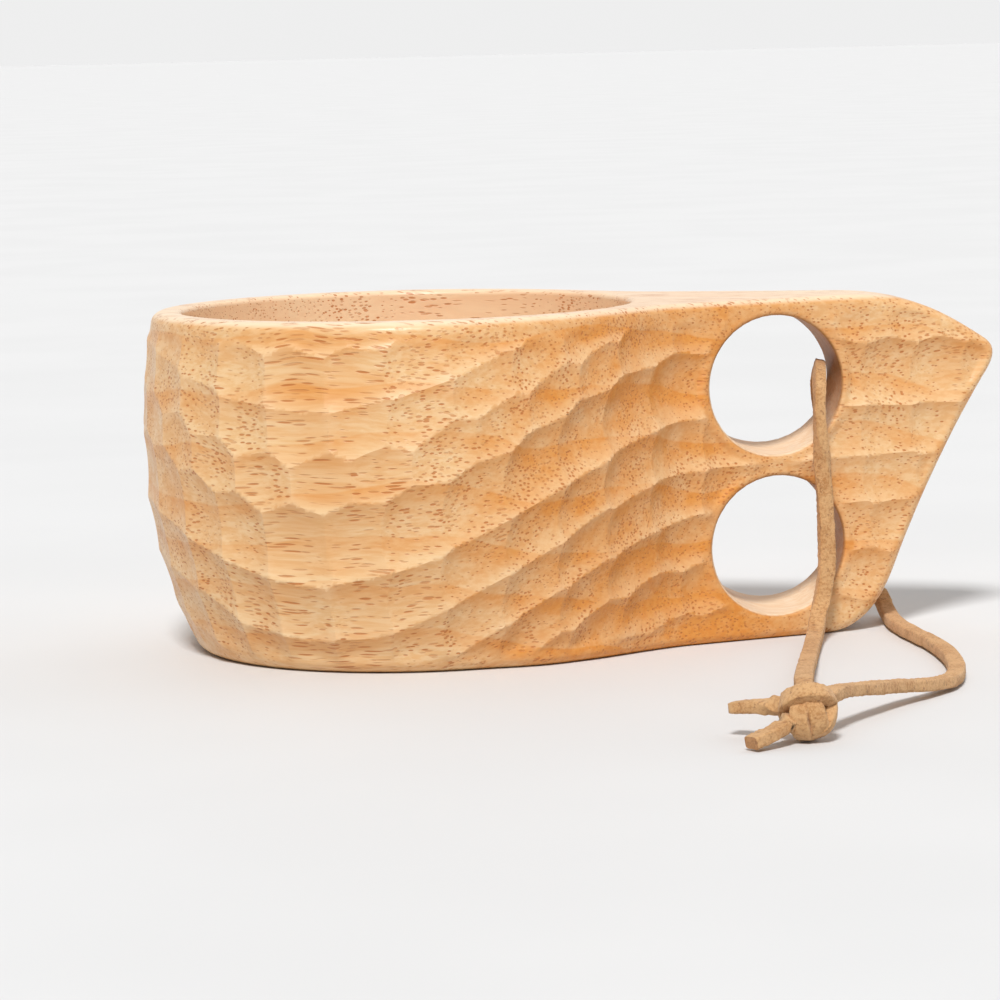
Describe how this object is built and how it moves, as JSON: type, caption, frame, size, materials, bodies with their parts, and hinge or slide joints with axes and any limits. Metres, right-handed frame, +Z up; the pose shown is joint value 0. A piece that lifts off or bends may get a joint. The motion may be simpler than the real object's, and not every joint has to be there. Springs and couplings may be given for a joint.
{
  "type": "wooden cup",
  "caption": "Carved wooden drinking cup with a round bowl, a full-height plate handle with finger holes, and a knotted leather lace looped through it.",
  "frame": {"origin": "under the middle of the cup, at the level it stands on", "axes": "+X from the bowl to the tail of the handle, +Z up, -Y the side where the lace lies"},
  "size_m": [0.16, 0.182, 0.0635],
  "materials": {
    "wood": "light golden hardwood, hand-gouged facets under a thin satin lacquer",
    "leather": "undyed split leather lace, matt with a short nap"
  },
  "bodies": {
    "root": {"cup_body": "wood", "lace_loop": "leather", "lace_knot": "leather", "lace_tail_upper": "leather", "lace_tail_lower": "leather"}
  },
  "joints": []
}
